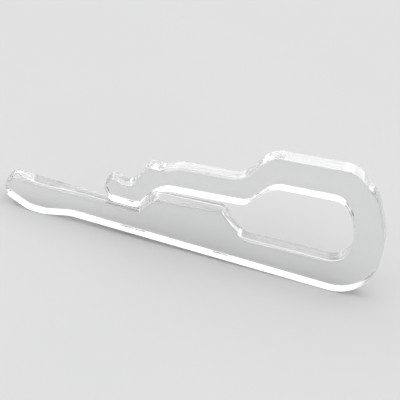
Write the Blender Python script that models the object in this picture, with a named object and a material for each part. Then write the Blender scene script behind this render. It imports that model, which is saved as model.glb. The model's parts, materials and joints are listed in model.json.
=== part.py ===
"""A one-piece moulded spring clip in clear plastic, standing on its lower edge.

The clip is one flat moulding of constant width: a long lower arm that starts in a finger tab and
carries a raised gripping block, a loop with a U-bend, and a shorter upper arm whose jaw closes over
the block and ends in a rounded nose. It opens by bending, so it is built as the six lengths of
that one band between the places where it bends. Each length turns about the middle of its cut.

The outline is drawn in millimetres, x along the lower edge from the tip of the tab and z across
the arms, and the finished clip is then stood on the two places where its lower edge meets a table.
World axes: +X along the clip towards the bend, +Y through its width, +Z from lower to upper arm.
"""

import math
from collections import namedtuple

import bmesh
import bpy
from mathutils import Matrix, Vector

MM = 0.001

# --- driving dimensions, millimetres ---------------------------------------------------------
LENGTH = 45.0           # tip of the tab to the outside of the bend
WIDTH = 3.0             # of the moulding, face to face
RIM_RADIUS = 0.25       # rounding of every moulded edge
CUT_GAP = 0.30          # clearance left at each cut

SHANK_TOP = 2.78        # upper edge of the tab and shank
BELLY_DROP = 0.70       # how far the tab bulges below the straight lower edge
LEG_TOP = 3.08          # upper edge of the lower leg where it leaves the block
LEG_SLOPE = 0.040       # its climb towards the bend
BLOCK_TOP = 4.95        # upper edge of the block at its left end
JAW_SLOPE = 0.098       # the block and both edges of the jaw climb alike towards the bend
JAW_UNDER = 6.38        # underside of the jaw where it leaves the nose
JAW_TOP = 9.65          # upper edge of the jaw at its left shoulder
LOOP_CEILING = 10.50    # underside of the upper leg at its left end
CEILING_SLOPE = 0.088   # which climbs a little less than the upper edge above it
UPPER_LEG_TOP = 14.32   # upper edge of the upper leg at its left end
UPPER_LEG_SLOPE = 0.105
LOOP_RIGHT = 41.28      # inside of the bend
NOSE_LEFT = 11.38       # front of the nose
NOSE_BOTTOM = 3.29      # the resting nose hovers just above the shank
NOSE_CROWN = 6.20       # its upper lip, in front of the hollow behind it

ARC_STEP = math.radians(11)   # one facet of a rounded corner
RIM_STEPS = 2                 # facets across a rounded edge

Corner = namedtuple("Corner", "x z radius")
Cut = namedtuple("Cut", "x z heading")   # middle of the band, and the way along it in degrees
Place = namedtuple("Place", "index point inward")  # a point between outline points index, index + 1

# Where the band is cut, from the tab to the nose. Each cut's middle is the axis of one bend.
CUTS = [
    Cut(15.0, SHANK_TOP / 2, 0),
    Cut(28.9, LEG_TOP / 2, 0),
    Cut(38.6, 1.75, 2),
    Cut(38.2, 13.1, 186),
    Cut(26.55, 8.78, 186),
]

# The lengths of the band between the cuts, from the tab to the nose, with the cut that each
# turns about. The gripping block turns about none: the rest of the clip moves against it.
SECTIONS = [
    ("finger_tab", 0),
    ("gripping_block", None),
    ("lower_leg", 1),
    ("u_bend", 2),
    ("upper_leg", 3),
    ("jaw_arm", 4),
]


def outline_corners():
    """The outline's corners before rounding, clockwise from the straight lower edge."""
    block_left = 17.5
    block_right = 25.55
    foot_right = 28.6
    jaw_left = 17.69
    jaw_right = 27.85
    loop_top_left = 30.65
    loop_top_right = 38.75
    shoulder = 19.6
    top_left = 29.42
    belly = [
        Corner(8.4, 0.0, 4.0),
        Corner(5.4, -BELLY_DROP, 3.0),
        Corner(3.4, -BELLY_DROP, 3.0),
    ]
    tab = [
        Corner(0.57, 0.39, 1.0),
        Corner(-0.04, 1.52, 0.7),
        Corner(0.74, SHANK_TOP, 0.7),
    ]
    block = [
        Corner(16.13, SHANK_TOP, 0.8),
        Corner(block_left, BLOCK_TOP, 2.0),
        Corner(block_right, BLOCK_TOP + JAW_SLOPE * (block_right - block_left), 0.9),
        Corner(foot_right, LEG_TOP, 2.2),
    ]
    loop = [
        Corner(LOOP_RIGHT, LEG_TOP + LEG_SLOPE * (LOOP_RIGHT - foot_right), 2.4),
        Corner(LOOP_RIGHT, 7.30, 4.0),
        Corner(40.36, 9.64, 2.5),
        Corner(loop_top_right, LOOP_CEILING + CEILING_SLOPE * (loop_top_right - loop_top_left), 2.0),
        Corner(loop_top_left, LOOP_CEILING, 2.6),
    ]
    jaw_under = [
        Corner(jaw_right, JAW_UNDER + JAW_SLOPE * (jaw_right - jaw_left), 1.5),
        Corner(jaw_left, JAW_UNDER, 3.0),
    ]
    nose = [
        Corner(15.75, NOSE_BOTTOM, 1.2),
        Corner(12.35, NOSE_BOTTOM, 1.2),
        Corner(NOSE_LEFT, 4.55, 0.7),
        Corner(NOSE_LEFT, 5.00, 0.6),
        Corner(12.12, NOSE_CROWN, 0.5),
        Corner(13.45, 5.58, 1.1),
        Corner(14.68, 5.90, 1.5),
        Corner(15.72, 8.78, 0.9),
    ]
    jaw_top = [
        Corner(17.6, 8.70, 1.6),
        Corner(shoulder, JAW_TOP, 2.2),
        Corner(26.75, JAW_TOP + JAW_SLOPE * (26.75 - shoulder), 3.0),
    ]
    outside = [
        Corner(top_left, UPPER_LEG_TOP, 2.4),
        Corner(39.55, UPPER_LEG_TOP + UPPER_LEG_SLOPE * (39.55 - top_left), 3.2),
        Corner(42.90, 12.60, 4.5),
        Corner(LENGTH, 7.86, 8.0),
        Corner(LENGTH, -0.16, 5.0),
    ]
    return belly + tab + block + loop + jaw_under + nose + jaw_top + outside


def rounded(corners):
    """The closed outline with each corner turned into an arc of facets."""
    points = []
    for i, corner in enumerate(corners):
        here = Vector((corner.x, corner.z))
        before = corners[i - 1]
        after = corners[(i + 1) % len(corners)]
        arriving = (here - Vector((before.x, before.z))).normalized()
        leaving = (Vector((after.x, after.z)) - here).normalized()
        turn = math.atan2(arriving.cross(leaving), arriving.dot(leaving))
        side = math.copysign(1.0, turn)
        centre = here - arriving * corner.radius * math.tan(abs(turn) / 2)
        centre += side * corner.radius * Vector((-arriving.y, arriving.x))
        spoke = side * corner.radius * Vector((arriving.y, -arriving.x))
        facets = max(1, round(abs(turn) / ARC_STEP))
        for n in range(facets + 1):
            points.append(centre + Matrix.Rotation(turn * n / facets, 2) @ spoke)
    return points


def inward_normals(points):
    """At each outline point, the way into the material, long enough to keep an inset parallel."""
    normals = []
    for i, point in enumerate(points):
        before = (point - points[i - 1]).normalized()
        after = (points[(i + 1) % len(points)] - point).normalized()
        middle = (before + after).normalized()
        normals.append(Vector((middle.y, -middle.x)) / middle.dot(after))
    return normals


def cut_places(points, cut, shift):
    """Where a cut, moved along the band by shift, meets its outer and inner edge."""
    along = Vector((math.cos(math.radians(cut.heading)), math.sin(math.radians(cut.heading))))
    across = Vector((-along.y, along.x))
    middle = Vector((cut.x, cut.z)) + along * shift
    nearest = {}
    for i, start in enumerate(points):
        end = points[(i + 1) % len(points)]
        height = (start - middle).dot(along)
        rise = (end - start).dot(along)
        if height * (height + rise) > 0 or rise == 0:
            continue
        point = start - (end - start) * height / rise
        reach = (point - middle).dot(across)
        side = "inner" if reach > 0 else "outer"
        if side not in nearest or abs(reach) < abs(nearest[side][0]):
            inward = across * -math.copysign(1.0, reach)
            nearest[side] = (reach, Place(i, point, inward))
    return nearest["outer"][1], nearest["inner"][1]


def walk(points, normals, start, end):
    """(point, inward) pairs along the outline from one place to another."""
    found = [(start.point, start.inward)]
    i = start.index
    while i != end.index:
        i = (i + 1) % len(points)
        found.append((points[i], normals[i]))
    found.append((end.point, end.inward))
    return found


def section_outline(points, normals, number):
    """The closed outline of one length of the band, as (point, inward) pairs, clockwise."""
    outer_start = inner_start = outer_end = inner_end = None
    if number > 0:
        outer_start, inner_start = cut_places(points, CUTS[number - 1], CUT_GAP / 2)
    if number < len(CUTS):
        outer_end, inner_end = cut_places(points, CUTS[number], -CUT_GAP / 2)
    if outer_start is None:
        return walk(points, normals, outer_end, inner_end)
    if outer_end is None:
        return walk(points, normals, inner_start, outer_start)
    inner = walk(points, normals, inner_start, inner_end)
    outer = walk(points, normals, outer_end, outer_start)
    return inner + outer


def rim_levels():
    """(inset, y) of each ring of the moulding from its front face to its back."""
    levels = []
    for side in (-1, 1):
        for n in range(RIM_STEPS + 1):
            angle = math.pi / 2 * (n / RIM_STEPS if side > 0 else 1 - n / RIM_STEPS)
            inset = RIM_RADIUS * (1 - math.cos(angle))
            y = side * (WIDTH / 2 - RIM_RADIUS * (1 - math.sin(angle)))
            levels.append((inset, y))
    return levels


def moulded_mesh(name, outline, origin):
    """A closed flat body with this outline and rounded rims, its mesh placed about origin."""
    mesh = bmesh.new()
    rings = []
    for inset, y in rim_levels():
        ring = []
        for point, inward in outline:
            place = point + inward * inset - origin
            ring.append(mesh.verts.new(Vector((place.x, y, place.y)) * MM))
        rings.append(ring)
    count = len(outline)
    for lower, upper in zip(rings, rings[1:]):
        for i in range(count):
            j = (i + 1) % count
            mesh.faces.new((lower[i], lower[j], upper[j], upper[i]))
    mesh.faces.new(reversed(rings[0]))
    mesh.faces.new(rings[-1])
    bmesh.ops.recalc_face_normals(mesh, faces=mesh.faces)
    made = bpy.data.meshes.new(name)
    mesh.to_mesh(made)
    mesh.free()
    made.shade_smooth()
    made.set_sharp_from_angle(angle=math.radians(35))
    return made


def clear_plastic(name):
    """Clear, glossy, colourless moulded plastic."""
    material = bpy.data.materials.new(name)
    material.use_nodes = True
    shader = material.node_tree.nodes["Principled BSDF"]
    shader.inputs["Base Color"].default_value = (0.90, 0.90, 0.90, 1.0)
    shader.inputs["Roughness"].default_value = 0.06
    shader.inputs["Metallic"].default_value = 0.0
    shader.inputs["IOR"].default_value = 1.55
    shader.inputs["Transmission Weight"].default_value = 0.6
    return material


def standing_angle(points):
    """The turn that brings the tab's belly and the foot of the bend down to one level."""
    angle = 0.0
    for _ in range(4):
        turned = [Matrix.Rotation(-angle, 2) @ point for point in points]
        belly = min((p for p in turned if p.x < LENGTH / 2), key=lambda p: p.y)
        heel = min((p for p in turned if p.x >= LENGTH / 2), key=lambda p: p.y)
        angle += math.atan2(heel.y - belly.y, heel.x - belly.x)
    return angle


def stance_empty(points):
    """The empty that stands the drawn clip on a table, the middle of its box over the origin."""
    angle = standing_angle(points)
    turned = [Matrix.Rotation(-angle, 2) @ point for point in points]
    across = [point.x for point in turned]
    lowest = min(point.y for point in turned)
    stance = bpy.data.objects.new("clip_stance", None)
    stance.rotation_euler = (0.0, angle, 0.0)
    stance.location = Vector((-(min(across) + max(across)) / 2, 0.0, -lowest)) * MM
    bpy.context.collection.objects.link(stance)
    return stance


def build():
    for old in list(bpy.data.objects):
        bpy.data.objects.remove(old, do_unlink=True)
    points = rounded(outline_corners())
    normals = inward_normals(points)
    stance = stance_empty(points)
    for number, (name, axis) in enumerate(SECTIONS):
        hinge = CUTS[number if axis is None else axis]
        origin = Vector((hinge.x, hinge.z))
        mesh = moulded_mesh(name, section_outline(points, normals, number), origin)
        mesh.materials.append(clear_plastic(name + "_plastic"))
        body = bpy.data.objects.new(name, mesh)
        body.parent = stance
        body.location = Vector((hinge.x, 0.0, hinge.z)) * MM
        bpy.context.collection.objects.link(body)


build()
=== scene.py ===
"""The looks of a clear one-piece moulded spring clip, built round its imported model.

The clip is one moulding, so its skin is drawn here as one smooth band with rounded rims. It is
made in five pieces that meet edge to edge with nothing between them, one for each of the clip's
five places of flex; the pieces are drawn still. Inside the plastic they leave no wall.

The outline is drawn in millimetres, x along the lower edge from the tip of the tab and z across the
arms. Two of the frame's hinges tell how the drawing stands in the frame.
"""

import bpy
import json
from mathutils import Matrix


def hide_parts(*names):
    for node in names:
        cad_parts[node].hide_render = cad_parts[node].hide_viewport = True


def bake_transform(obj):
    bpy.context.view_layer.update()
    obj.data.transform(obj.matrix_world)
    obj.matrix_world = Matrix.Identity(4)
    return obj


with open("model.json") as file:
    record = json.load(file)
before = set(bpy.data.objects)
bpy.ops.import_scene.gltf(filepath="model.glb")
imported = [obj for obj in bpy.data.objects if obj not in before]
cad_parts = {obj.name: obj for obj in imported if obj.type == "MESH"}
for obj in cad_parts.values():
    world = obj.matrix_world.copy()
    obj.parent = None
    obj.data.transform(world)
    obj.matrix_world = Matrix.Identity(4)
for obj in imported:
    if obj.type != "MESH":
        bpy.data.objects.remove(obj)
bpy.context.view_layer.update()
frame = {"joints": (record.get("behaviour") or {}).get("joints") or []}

import json
import math
from collections import namedtuple

import bpy
import numpy as np
from mathutils import Matrix, Vector

MM = 0.001

# --- the moulding, millimetres ------------------------------------------------------------------
LENGTH = 45.0
WIDTH = 3.0
RIM_RADIUS = 0.25       # rounding of every moulded edge
DRAFT = 0.012           # how much the wall leans in for each millimetre from the parting line
PARTING_HEIGHT = 0.012  # of the fine ridge where the two halves of the mould met
PARTING_HALF = 0.05     # half its width

SHANK_TOP = 2.78
BELLY_DROP = 0.70
LEG_TOP = 3.08
LEG_SLOPE = 0.040
BLOCK_TOP = 4.95
JAW_SLOPE = 0.098
JAW_UNDER = 6.38
JAW_TOP = 9.65
LOOP_CEILING = 10.50
CEILING_SLOPE = 0.088
UPPER_LEG_TOP = 14.32
UPPER_LEG_SLOPE = 0.105
LOOP_RIGHT = 41.28
NOSE_LEFT = 11.38
NOSE_BOTTOM = 3.29
NOSE_CROWN = 6.20

STEP = 0.45                     # longest facet along the outline
ARC_STEP = math.radians(5)      # and the most that one turns
RIM_STEPS = 8                   # facets across a rounded rim
WALL_RINGS = (0.35, 0.7)        # rings of the wall, as shares of the way from the ridge to the rim
RIDGE_SHOULDER = (0.5, 0.6)     # share of the ridge's half width, and of its height left there
RIDGE_LEAN = (0.96, 0.28)       # the way out of the plastic on that shoulder, out and along y

# --- the materials ------------------------------------------------------------------------------
PLASTIC_COLOUR = (0.87, 0.875, 0.875, 1.0)
PLASTIC_IOR = 1.55
POLISH = 0.012                  # roughness of the clean, polished plastic
HAZE = 0.035                    # most that the haze adds to it
HAZE_RANGE = (0.35, 0.75)       # of the fine noise, from no haze to all of it
WEAR = 0.14                     # and what a scratch adds to it
FLOW_SCALE = 0.30               # noise of the long waves left by the moulding
PEEL_SCALE = 2.2                # and of the fine ones
PEEL_HEIGHT = 0.08              # of the fine waves, and of a scratch, against the long waves
SCRATCH_DEPTH = 0.05
WAVE_HEIGHT = 0.010             # millimetres
SCRATCH_STRETCH = (0.16, 1.0, 9.0)
SCRATCH_RANGE = (0.64, 0.70)    # of the noise, from no scratch to a full one
FLOOR_TONES = ((0.583, 0.586, 0.589, 1.0), (0.607, 0.607, 0.607, 1.0))
FLOOR_HALF = 4.0                # metres

# --- the picture --------------------------------------------------------------------------------
AIM = Vector((22.64, -0.39, 6.12))   # drawn point in the middle of the view, and y through the width
ELEVATION = math.radians(24.0)
ROLL = math.radians(15.84)           # the clip slopes down to the right
VIEW_WIDTH = 47.1                    # millimetres of the clip across the view
LENS = 900.0
SENSOR = 36.0

# Light by direction: azimuth from +Y, and height as the sine of the elevation. A blur is the way
# from the middle of an edge to where it ends.
WINDOW_AZIMUTH = math.radians(-12.0)
WINDOW_HALF_WIDTH = math.radians(65.0)
WINDOW_BLUR = math.radians(15.0)
WINDOW_SILL = 0.08
WINDOW_HEAD = 0.62
SILL_BLUR = 0.04
HEAD_BLUR = 0.12
WINDOW_LIGHT = 1.2
CEILING_LIGHT = 0.50
CEILING_RANGE = (0.35, 0.95)    # heights from where its light starts to where it is full
WALL_LIGHT = 0.60
CAMERA_SIDE_LIGHT = 1.6
WALL_RANGE = (-0.9, 0.4)        # along Y, from the full light of the camera side to that of the wall
SIDE_GAP = 0.74                 # how far right, and towards the camera, the tent is open and dark
CAMERA_GAP = 0.84
GAP_BLUR = 0.04
GAP_DARKNESS = 0.9
LIGHT_DEPTH = 28                # bounces of light inside the plastic
NEAR_CLIP = 0.05                # of the camera, as a share of its distance

Corner = namedtuple("Corner", "x z radius")
Station = namedtuple("Station", "point outward")   # both Vectors in the drawing
Seam = namedtuple("Seam", "x z heading")           # middle of the band, and the way along it
Flex = namedtuple("Flex", "name stays moves start end stands_for")

# Where one piece of the skin meets the next, from the tab to the nose.
SEAMS = [
    Seam(22.0, 2.5, 0),
    Seam(33.8, 1.6, 1.5),
    Seam(43.15, 6.8, 92),
    Seam(32.5, 12.4, 186),
]

# The pieces of the skin, from the tab to the nose: its name, the body before its start point, the
# body past its end point, the start and end points, and the imported parts that it stands in for and
# hides. The pieces are drawn still; nothing here makes them follow the bodies or bend.
FLEXES = [
    Flex("skin_tab", "gripping_block", "finger_tab", (17.0, 1.4), (8.0, 1.4), ["finger_tab"]),
    Flex("skin_block", "gripping_block", "lower_leg", (26.5, 1.5), (32.5, 1.6), ["gripping_block"]),
    Flex("skin_heel", "lower_leg", "u_bend", (35.0, 1.6), (41.8, 5.0), ["lower_leg"]),
    Flex("skin_crown", "u_bend", "upper_leg", (42.3, 9.3), (34.5, 12.9), ["u_bend"]),
    Flex("skin_jaw", "upper_leg", "jaw_arm", (30.3, 11.6), (23.0, 8.4), ["upper_leg", "jaw_arm"]),
]

# Two hinges as drawn, to find the drawing's place in the frame.
DRAWN_HINGES = {"tab_flex": Vector((15.0, 1.39)), "upper_bend_flex": Vector((38.2, 13.1))}


# --- the outline --------------------------------------------------------------------------------
def outline_corners():
    """The outline's corners before rounding, clockwise from the straight lower edge."""
    block_left = 17.5
    block_right = 25.55
    foot_right = 28.6
    jaw_left = 17.69
    jaw_right = 27.85
    loop_top_left = 30.65
    loop_top_right = 38.75
    shoulder = 19.6
    top_left = 29.42
    belly = [
        Corner(8.4, 0.0, 4.0),
        Corner(5.4, -BELLY_DROP, 3.0),
        Corner(3.4, -BELLY_DROP, 3.0),
    ]
    tab = [
        Corner(0.57, 0.39, 1.0),
        Corner(-0.04, 1.52, 0.7),
        Corner(0.74, SHANK_TOP, 0.7),
    ]
    block = [
        Corner(16.13, SHANK_TOP, 0.8),
        Corner(block_left, BLOCK_TOP, 2.0),
        Corner(block_right, BLOCK_TOP + JAW_SLOPE * (block_right - block_left), 0.9),
        Corner(foot_right, LEG_TOP, 2.2),
    ]
    loop = [
        Corner(LOOP_RIGHT, LEG_TOP + LEG_SLOPE * (LOOP_RIGHT - foot_right), 2.4),
        Corner(LOOP_RIGHT, 7.30, 4.0),
        Corner(40.36, 9.64, 2.5),
        Corner(loop_top_right, LOOP_CEILING + CEILING_SLOPE * (loop_top_right - loop_top_left), 2.0),
        Corner(loop_top_left, LOOP_CEILING, 2.6),
    ]
    jaw_under = [
        Corner(jaw_right, JAW_UNDER + JAW_SLOPE * (jaw_right - jaw_left), 1.5),
        Corner(jaw_left, JAW_UNDER, 3.0),
    ]
    nose = [
        Corner(15.75, NOSE_BOTTOM, 1.2),
        Corner(12.35, NOSE_BOTTOM, 1.2),
        Corner(NOSE_LEFT, 4.55, 0.7),
        Corner(NOSE_LEFT, 5.00, 0.6),
        Corner(12.12, NOSE_CROWN, 0.5),
        Corner(13.45, 5.58, 1.1),
        Corner(14.68, 5.90, 1.5),
        Corner(15.72, 8.78, 0.9),
    ]
    jaw_top = [
        Corner(17.6, 8.70, 1.6),
        Corner(shoulder, JAW_TOP, 2.2),
        Corner(26.75, JAW_TOP + JAW_SLOPE * (26.75 - shoulder), 3.0),
    ]
    outside = [
        Corner(top_left, UPPER_LEG_TOP, 2.4),
        Corner(39.55, UPPER_LEG_TOP + UPPER_LEG_SLOPE * (39.55 - top_left), 3.2),
        Corner(42.90, 12.60, 4.5),
        Corner(LENGTH, 7.86, 8.0),
        Corner(LENGTH, -0.16, 5.0),
    ]
    return belly + tab + block + loop + jaw_under + nose + jaw_top + outside


def corner_arc(before, corner, after):
    """The stations of one rounded corner."""
    here = Vector((corner.x, corner.z))
    arriving = (here - Vector((before.x, before.z))).normalized()
    leaving = (Vector((after.x, after.z)) - here).normalized()
    turn = math.atan2(arriving.cross(leaving), arriving.dot(leaving))
    side = math.copysign(1.0, turn)
    centre = here - arriving * corner.radius * math.tan(abs(turn) / 2)
    centre += side * corner.radius * Vector((-arriving.y, arriving.x))
    outward = Vector((-arriving.y, arriving.x))
    spoke = -side * corner.radius * outward
    facets = max(2, math.ceil(abs(turn) / ARC_STEP), math.ceil(abs(turn) * corner.radius / STEP))
    stations = []
    for n in range(facets + 1):
        turned = Matrix.Rotation(turn * n / facets, 2)
        stations.append(Station(centre + turned @ spoke, turned @ outward))
    return stations


def outline_stations():
    """The whole outline, clockwise, with the way out of the plastic at each station."""
    corners = outline_corners()
    arcs = []
    for i, corner in enumerate(corners):
        arcs.append(corner_arc(corners[i - 1], corner, corners[(i + 1) % len(corners)]))
    stations = []
    for i, arc in enumerate(arcs):
        stations += arc
        start = arc[-1].point
        run = arcs[(i + 1) % len(arcs)][0].point - start
        facets = max(1, math.ceil(run.length / STEP))
        stations += [Station(start + run * n / facets, arc[-1].outward) for n in range(1, facets)]
    return stations


def seam_stations(stations, seam):
    """Where a seam meets the outline: {"outer" and "inner": (index before it, the station there)}."""
    heading = math.radians(seam.heading)
    along = Vector((math.cos(heading), math.sin(heading)))
    across = Vector((-along.y, along.x))
    middle = Vector((seam.x, seam.z))
    nearest = {}
    for i, start in enumerate(stations):
        end = stations[(i + 1) % len(stations)]
        height = (start.point - middle).dot(along)
        rise = (end.point - start.point).dot(along)
        if rise == 0 or not 0 <= -height / rise < 1:
            continue
        share = -height / rise
        point = start.point.lerp(end.point, share)
        outward = start.outward.lerp(end.outward, share).normalized()
        reach = (point - middle).dot(across)
        side = "inner" if reach > 0 else "outer"
        if side not in nearest or abs(reach) < nearest[side][0]:
            nearest[side] = (abs(reach), i, Station(point, outward))
    return {side: found[1:] for side, found in nearest.items()}


def stretch(stations, start, end):
    """The stations along the outline from one seam's end to another's."""
    found = [start[1]]
    i = start[0]
    while i != end[0]:
        i = (i + 1) % len(stations)
        found.append(stations[i])
    return found + [end[1]]


def piece_edges(stations, seams, number):
    """The one or two stretches of outline that bound a piece of the skin, clockwise."""
    if number == 0:
        return [stretch(stations, seams[0]["outer"], seams[0]["inner"])]
    if number == len(seams):
        return [stretch(stations, seams[-1]["inner"], seams[-1]["outer"])]
    before, after = seams[number - 1], seams[number]
    return [
        stretch(stations, before["inner"], after["inner"]),
        stretch(stations, after["outer"], before["outer"]),
    ]


# --- the skin -----------------------------------------------------------------------------------
def wall_profile():
    """(inset, y, lean out, lean along y) of each ring of the skin, from its front face to its back.

    The wall leans in from the parting line to both faces, a fine ridge marks that line, and a
    quarter circle rounds each rim.
    """
    flat_half = WIDTH / 2 - RIM_RADIUS
    slope = math.hypot(1, DRAFT)
    half = [
        (-PARTING_HEIGHT, 0.0, 1.0, 0.0),
        (-PARTING_HEIGHT * RIDGE_SHOULDER[1], PARTING_HALF * RIDGE_SHOULDER[0], *RIDGE_LEAN),
        (0.0, PARTING_HALF, 1 / slope, DRAFT / slope),
    ]
    for share in WALL_RINGS:
        y = PARTING_HALF + (flat_half - PARTING_HALF) * share
        half.append((DRAFT * y, y, 1 / slope, DRAFT / slope))
    for n in range(RIM_STEPS + 1):
        angle = math.pi / 2 * n / RIM_STEPS
        inset = DRAFT * flat_half * math.cos(angle) + RIM_RADIUS * (1 - math.cos(angle))
        y = flat_half + RIM_RADIUS * math.sin(angle)
        half.append((inset, y, math.cos(angle), math.sin(angle)))
    front = [(inset, -y, out, -along) for inset, y, out, along in reversed(half[1:])]
    return front + half


def skin_piece(name, edges, stance):
    """One piece of the skin: walls and rims along its edges, and its part of the two flat faces."""
    profile = wall_profile()
    places, normals, faces = [], [], []
    face_loops = {0: [], len(profile) - 1: []}
    for edge in edges:
        first = len(places)
        for inset, y, out, lean in profile:
            for station in edge:
                drawn = station.point - station.outward * inset
                places.append(Vector((drawn.x, y, drawn.y)))
                normals.append(Vector((station.outward.x * out, lean, station.outward.y * out)))
        count = len(edge)
        for level in range(len(profile) - 1):
            for i in range(count - 1):
                a = first + level * count + i
                faces.append((a, a + 1, a + 1 + count, a + count))
        for level, loop in face_loops.items():
            loop += range(first + level * count, first + (level + 1) * count)
    faces.append(list(reversed(face_loops[0])))
    faces.append(face_loops[len(profile) - 1])
    mesh = bpy.data.meshes.new(name)
    turn = stance.to_3x3().normalized()
    mesh.from_pydata([stance @ place for place in places], [], faces)
    mesh.shade_smooth()
    drawn = mesh.attributes.new("drawn_place", "FLOAT_VECTOR", "POINT")
    drawn.data.foreach_set("vector", np.array(places, np.float32).ravel())
    mesh.normals_split_custom_set_from_vertices([(turn @ n).normalized() for n in normals])
    piece = bpy.data.objects.new(name, mesh)
    bpy.context.collection.objects.link(piece)
    return piece


def clip_stance():
    """The matrix from the drawing, in millimetres, to the frame, in metres."""
    places = {joint["name"]: joint["pos_m"] for joint in frame["joints"]}
    real = {name: Vector((places[name][0], places[name][2])) / MM for name in DRAWN_HINGES}
    a, b = DRAWN_HINGES
    drawn_run = DRAWN_HINGES[b] - DRAWN_HINGES[a]
    real_run = real[b] - real[a]
    turn = math.atan2(real_run.cross(drawn_run), real_run.dot(drawn_run))
    rotation = Matrix.Rotation(turn, 4, "Y")
    drawn = Vector((DRAWN_HINGES[a].x, 0, DRAWN_HINGES[a].y))
    move = Vector((real[a].x, 0, real[a].y)) - rotation @ drawn
    return Matrix.Scale(MM, 4) @ Matrix.Translation(move) @ rotation


def make_skin(stance, plastic):
    stations = outline_stations()
    seams = [seam_stations(stations, seam) for seam in SEAMS]
    for number, flex in enumerate(FLEXES):
        piece = skin_piece(flex.name, piece_edges(stations, seams, number), stance)
        piece.data.materials.append(plastic)
        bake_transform(piece)
        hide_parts(*flex.stands_for)


# --- materials ----------------------------------------------------------------------------------
def add_node(tree, kind, settings=None, **inputs):
    """A shader node with its settings, and its inputs by name: a value, or a socket to link."""
    node = tree.nodes.new(kind)
    for name, value in (settings or {}).items():
        setattr(node, name, value)
    for name, value in inputs.items():
        socket = node.inputs[name.replace("_", " ")]
        if isinstance(value, bpy.types.NodeSocket):
            tree.links.new(value, socket)
        else:
            socket.default_value = value
    return node


def calculate(tree, operation, first, second=0.0):
    node = tree.nodes.new("ShaderNodeMath")
    node.operation = operation
    for socket, value in zip(node.inputs, (first, second)):
        if isinstance(value, bpy.types.NodeSocket):
            tree.links.new(value, socket)
        else:
            socket.default_value = value
    return node.outputs[0]


def steps(tree, value, low, high):
    """The value stretched so that low gives 0 and high gives 1."""
    node = add_node(tree, "ShaderNodeMapRange", Value=value, From_Min=low, From_Max=high)
    return node.outputs["Result"]


def scratches(tree, place, angle, spread, seed):
    """Fine straight handling scratches that lie near one direction, as thin peaks from 0 to 1."""
    turned = add_node(
        tree, "ShaderNodeMapping", Vector=place,
        Rotation=(0.0, angle, 0.0), Location=(seed, 0.0, seed * 0.37), Scale=SCRATCH_STRETCH,
    )
    wander = add_node(tree, "ShaderNodeTexNoise", Vector=place, Scale=0.25, Detail=1.0)
    bent = add_node(
        tree, "ShaderNodeMixRGB", {"blend_type": "ADD"},
        Fac=spread, Color1=turned.outputs["Vector"], Color2=wander.outputs["Color"],
    )
    lines = add_node(
        tree, "ShaderNodeTexNoise", Vector=bent.outputs["Color"], Scale=1.0, Detail=3.0,
        Roughness=0.7,
    )
    return steps(tree, lines.outputs["Fac"], *SCRATCH_RANGE)


def clear_plastic():
    """Colourless see-through plastic: polished, faintly wavy as moulded, with handling scratches."""
    material = bpy.data.materials.new("clear_plastic")
    material.use_nodes = True
    tree = material.node_tree
    shader = tree.nodes["Principled BSDF"]
    shader.inputs["Base Color"].default_value = PLASTIC_COLOUR
    shader.inputs["IOR"].default_value = PLASTIC_IOR
    shader.inputs["Transmission Weight"].default_value = 1.0
    place = add_node(tree, "ShaderNodeAttribute", {"attribute_name": "drawn_place"})
    place = place.outputs["Vector"]

    flow = add_node(tree, "ShaderNodeTexNoise", Vector=place, Scale=FLOW_SCALE, Detail=2.0)
    peel = add_node(tree, "ShaderNodeTexNoise", Vector=place, Scale=PEEL_SCALE, Detail=3.0)
    long_lines = scratches(tree, place, math.radians(12), 0.6, 3.1)
    cross_lines = scratches(tree, place, math.radians(-38), 0.9, 11.7)
    lines = calculate(tree, "MAXIMUM", long_lines, cross_lines)

    haze = calculate(tree, "MULTIPLY", steps(tree, peel.outputs["Fac"], *HAZE_RANGE), HAZE)
    worn = calculate(tree, "MULTIPLY", lines, WEAR)
    rough = calculate(tree, "ADD", calculate(tree, "ADD", haze, worn), POLISH)
    tree.links.new(rough, shader.inputs["Roughness"])

    fine = calculate(tree, "MULTIPLY", peel.outputs["Fac"], PEEL_HEIGHT)
    cuts = calculate(tree, "MULTIPLY", lines, SCRATCH_DEPTH)
    height = calculate(tree, "ADD", flow.outputs["Fac"], fine)
    height = calculate(tree, "SUBTRACT", height, cuts)
    bump = add_node(tree, "ShaderNodeBump", Height=height, Strength=1.0, Distance=WAVE_HEIGHT * MM)
    tree.links.new(bump.outputs["Normal"], shader.inputs["Normal"])
    return material


def pale_floor_material():
    """Quite matte: a glossy floor turns white in low views and hides the clip."""
    material = bpy.data.materials.new("pale_floor")
    material.use_nodes = True
    tree = material.node_tree
    shader = tree.nodes["Principled BSDF"]
    place = add_node(tree, "ShaderNodeTexCoord").outputs["Object"]
    cloud = add_node(tree, "ShaderNodeTexNoise", Vector=place, Scale=30.0, Detail=4.0)
    tone = add_node(tree, "ShaderNodeValToRGB", Fac=cloud.outputs["Fac"])
    for element, colour in zip(tone.color_ramp.elements, FLOOR_TONES):
        element.color = colour
    tree.links.new(tone.outputs["Color"], shader.inputs["Base Color"])
    shader.inputs["Roughness"].default_value = 1.0
    shader.inputs["Specular IOR Level"].default_value = 0.0
    return material


# --- the studio ---------------------------------------------------------------------------------
def make_floor():
    half = FLOOR_HALF
    mesh = bpy.data.meshes.new("floor")
    corners = [(-half, -half, 0), (half, -half, 0), (half, half, 0), (-half, half, 0)]
    mesh.from_pydata(corners, [], [(0, 1, 2, 3)])
    floor = bpy.data.objects.new("floor", mesh)
    bpy.context.collection.objects.link(floor)
    floor.data.materials.append(pale_floor_material())


def darken(tree, strength, share, darkness):
    """The light's strength, lowered by the darkness where the share is 1."""
    kept = calculate(tree, "SUBTRACT", 1.0, calculate(tree, "MULTIPLY", share, darkness))
    return calculate(tree, "MULTIPLY", strength, kept)


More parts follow.
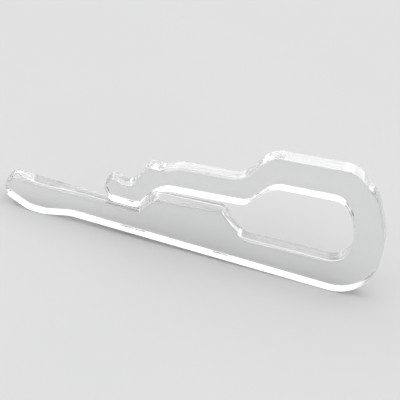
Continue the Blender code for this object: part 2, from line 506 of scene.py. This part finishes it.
def make_world():
    """A soft tent: a bright window low behind the clip, a lit ceiling, and a lit camera side.

    The tent is open, and so dark, at the far right and round the camera. The openings draw the few
    dark lines in the clear edges.
    """
    world = bpy.data.worlds.new("tent")
    bpy.context.scene.world = world
    world.use_nodes = True
    tree = world.node_tree
    way = add_node(tree, "ShaderNodeTexCoord").outputs["Generated"]
    parts = add_node(tree, "ShaderNodeSeparateXYZ", Vector=way)
    height = parts.outputs["Z"]
    azimuth = calculate(tree, "ARCTAN2", parts.outputs["X"], parts.outputs["Y"])
    off_axis = calculate(tree, "ABSOLUTE", calculate(tree, "SUBTRACT", azimuth, WINDOW_AZIMUTH))
    across = steps(tree, off_axis, WINDOW_HALF_WIDTH + WINDOW_BLUR, WINDOW_HALF_WIDTH - WINDOW_BLUR)
    above_sill = steps(tree, height, WINDOW_SILL - SILL_BLUR, WINDOW_SILL + SILL_BLUR)
    below_head = steps(tree, height, WINDOW_HEAD + HEAD_BLUR, WINDOW_HEAD - HEAD_BLUR)
    window = calculate(tree, "MULTIPLY", across, calculate(tree, "MULTIPLY", above_sill, below_head))
    ceiling = steps(tree, height, *CEILING_RANGE)
    wall = steps(tree, parts.outputs["Y"], *WALL_RANGE)
    strength = calculate(tree, "MULTIPLY", wall, WALL_LIGHT - CAMERA_SIDE_LIGHT)
    strength = calculate(tree, "ADD", strength, CAMERA_SIDE_LIGHT)
    strength = calculate(tree, "ADD", strength, calculate(tree, "MULTIPLY", ceiling, CEILING_LIGHT))
    strength = calculate(tree, "ADD", strength, calculate(tree, "MULTIPLY", window, WINDOW_LIGHT))
    side_gap = steps(tree, parts.outputs["X"], SIDE_GAP - GAP_BLUR, SIDE_GAP + GAP_BLUR)
    strength = darken(tree, strength, side_gap, GAP_DARKNESS)
    camera_gap = steps(tree, parts.outputs["Y"], GAP_BLUR - CAMERA_GAP, -GAP_BLUR - CAMERA_GAP)
    strength = darken(tree, strength, camera_gap, GAP_DARKNESS)
    background = tree.nodes["Background"]
    tree.links.new(strength, background.inputs["Strength"])
    background.inputs["Color"].default_value = (1.0, 1.0, 1.0, 1.0)


def add_camera(stance):
    """A long lens from in front and above, rolled so that the clip slopes down to the right."""
    right = Vector((1, 0, 0))
    up = Vector((0, math.sin(ELEVATION), math.cos(ELEVATION)))
    back = right.cross(up)
    across = right * math.cos(ROLL) + up * math.sin(ROLL)
    upward = up * math.cos(ROLL) - right * math.sin(ROLL)
    turn = stance.to_3x3().normalized()
    axes = Matrix([turn @ across, turn @ upward, turn @ back]).transposed()
    data = bpy.data.cameras.new("camera")
    data.lens = LENS
    data.sensor_width = SENSOR
    distance = VIEW_WIDTH * MM * LENS / SENSOR
    data.clip_start = distance * NEAR_CLIP
    camera = bpy.data.objects.new("camera", data)
    camera.matrix_world = Matrix.Translation(stance @ AIM + axes.col[2] * distance) @ axes.to_4x4()
    bpy.context.collection.objects.link(camera)
    bpy.context.scene.camera = camera


def set_light_depth():
    """Lets light bounce on inside the clear plastic until it has found its way out."""
    cycles = bpy.context.scene.cycles
    cycles.max_bounces = LIGHT_DEPTH
    cycles.glossy_bounces = LIGHT_DEPTH
    cycles.transmission_bounces = LIGHT_DEPTH


stance = clip_stance()
add_camera(stance)
make_skin(stance, clear_plastic())
make_floor()
make_world()
bpy.context.scene.view_settings.view_transform = "Standard"
set_light_depth()
